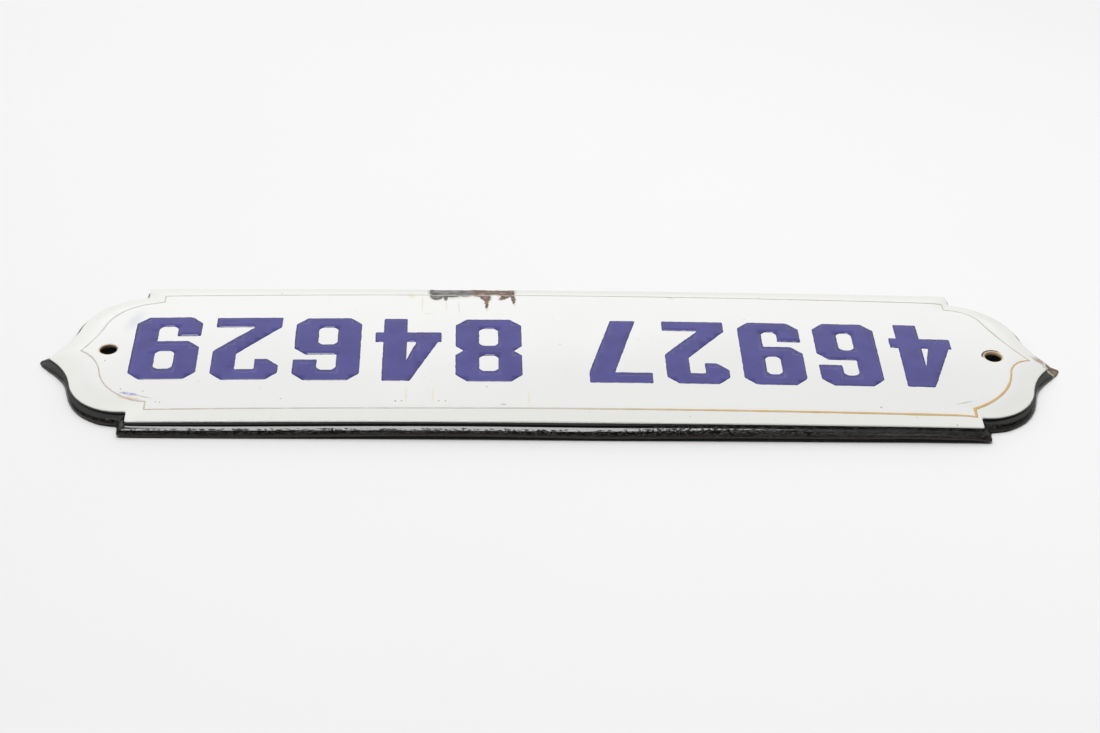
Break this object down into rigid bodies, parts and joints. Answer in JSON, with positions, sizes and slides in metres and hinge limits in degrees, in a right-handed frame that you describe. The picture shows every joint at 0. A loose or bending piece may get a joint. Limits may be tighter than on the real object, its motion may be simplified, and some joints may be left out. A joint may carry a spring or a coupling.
{
  "type": "door plaque",
  "caption": "Pressed enamelled steel door plaque, long and gently crowned, with stepped ends that run out to ogee cusps, a flared rim and fixing holes.",
  "frame": {"origin": "under the middle of the plaque, at the level of the surface that it lies on face up", "axes": "+X along the plaque, +Y across it, +Z out of its face"},
  "size_m": [0.3044, 0.0748, 0.0073],
  "materials": {
    "enamel": "glossy white vitreous enamel with a black rim, worn, with rust where it has chipped"
  },
  "bodies": {
    "root": {"plaque": "enamel"}
  },
  "joints": []
}
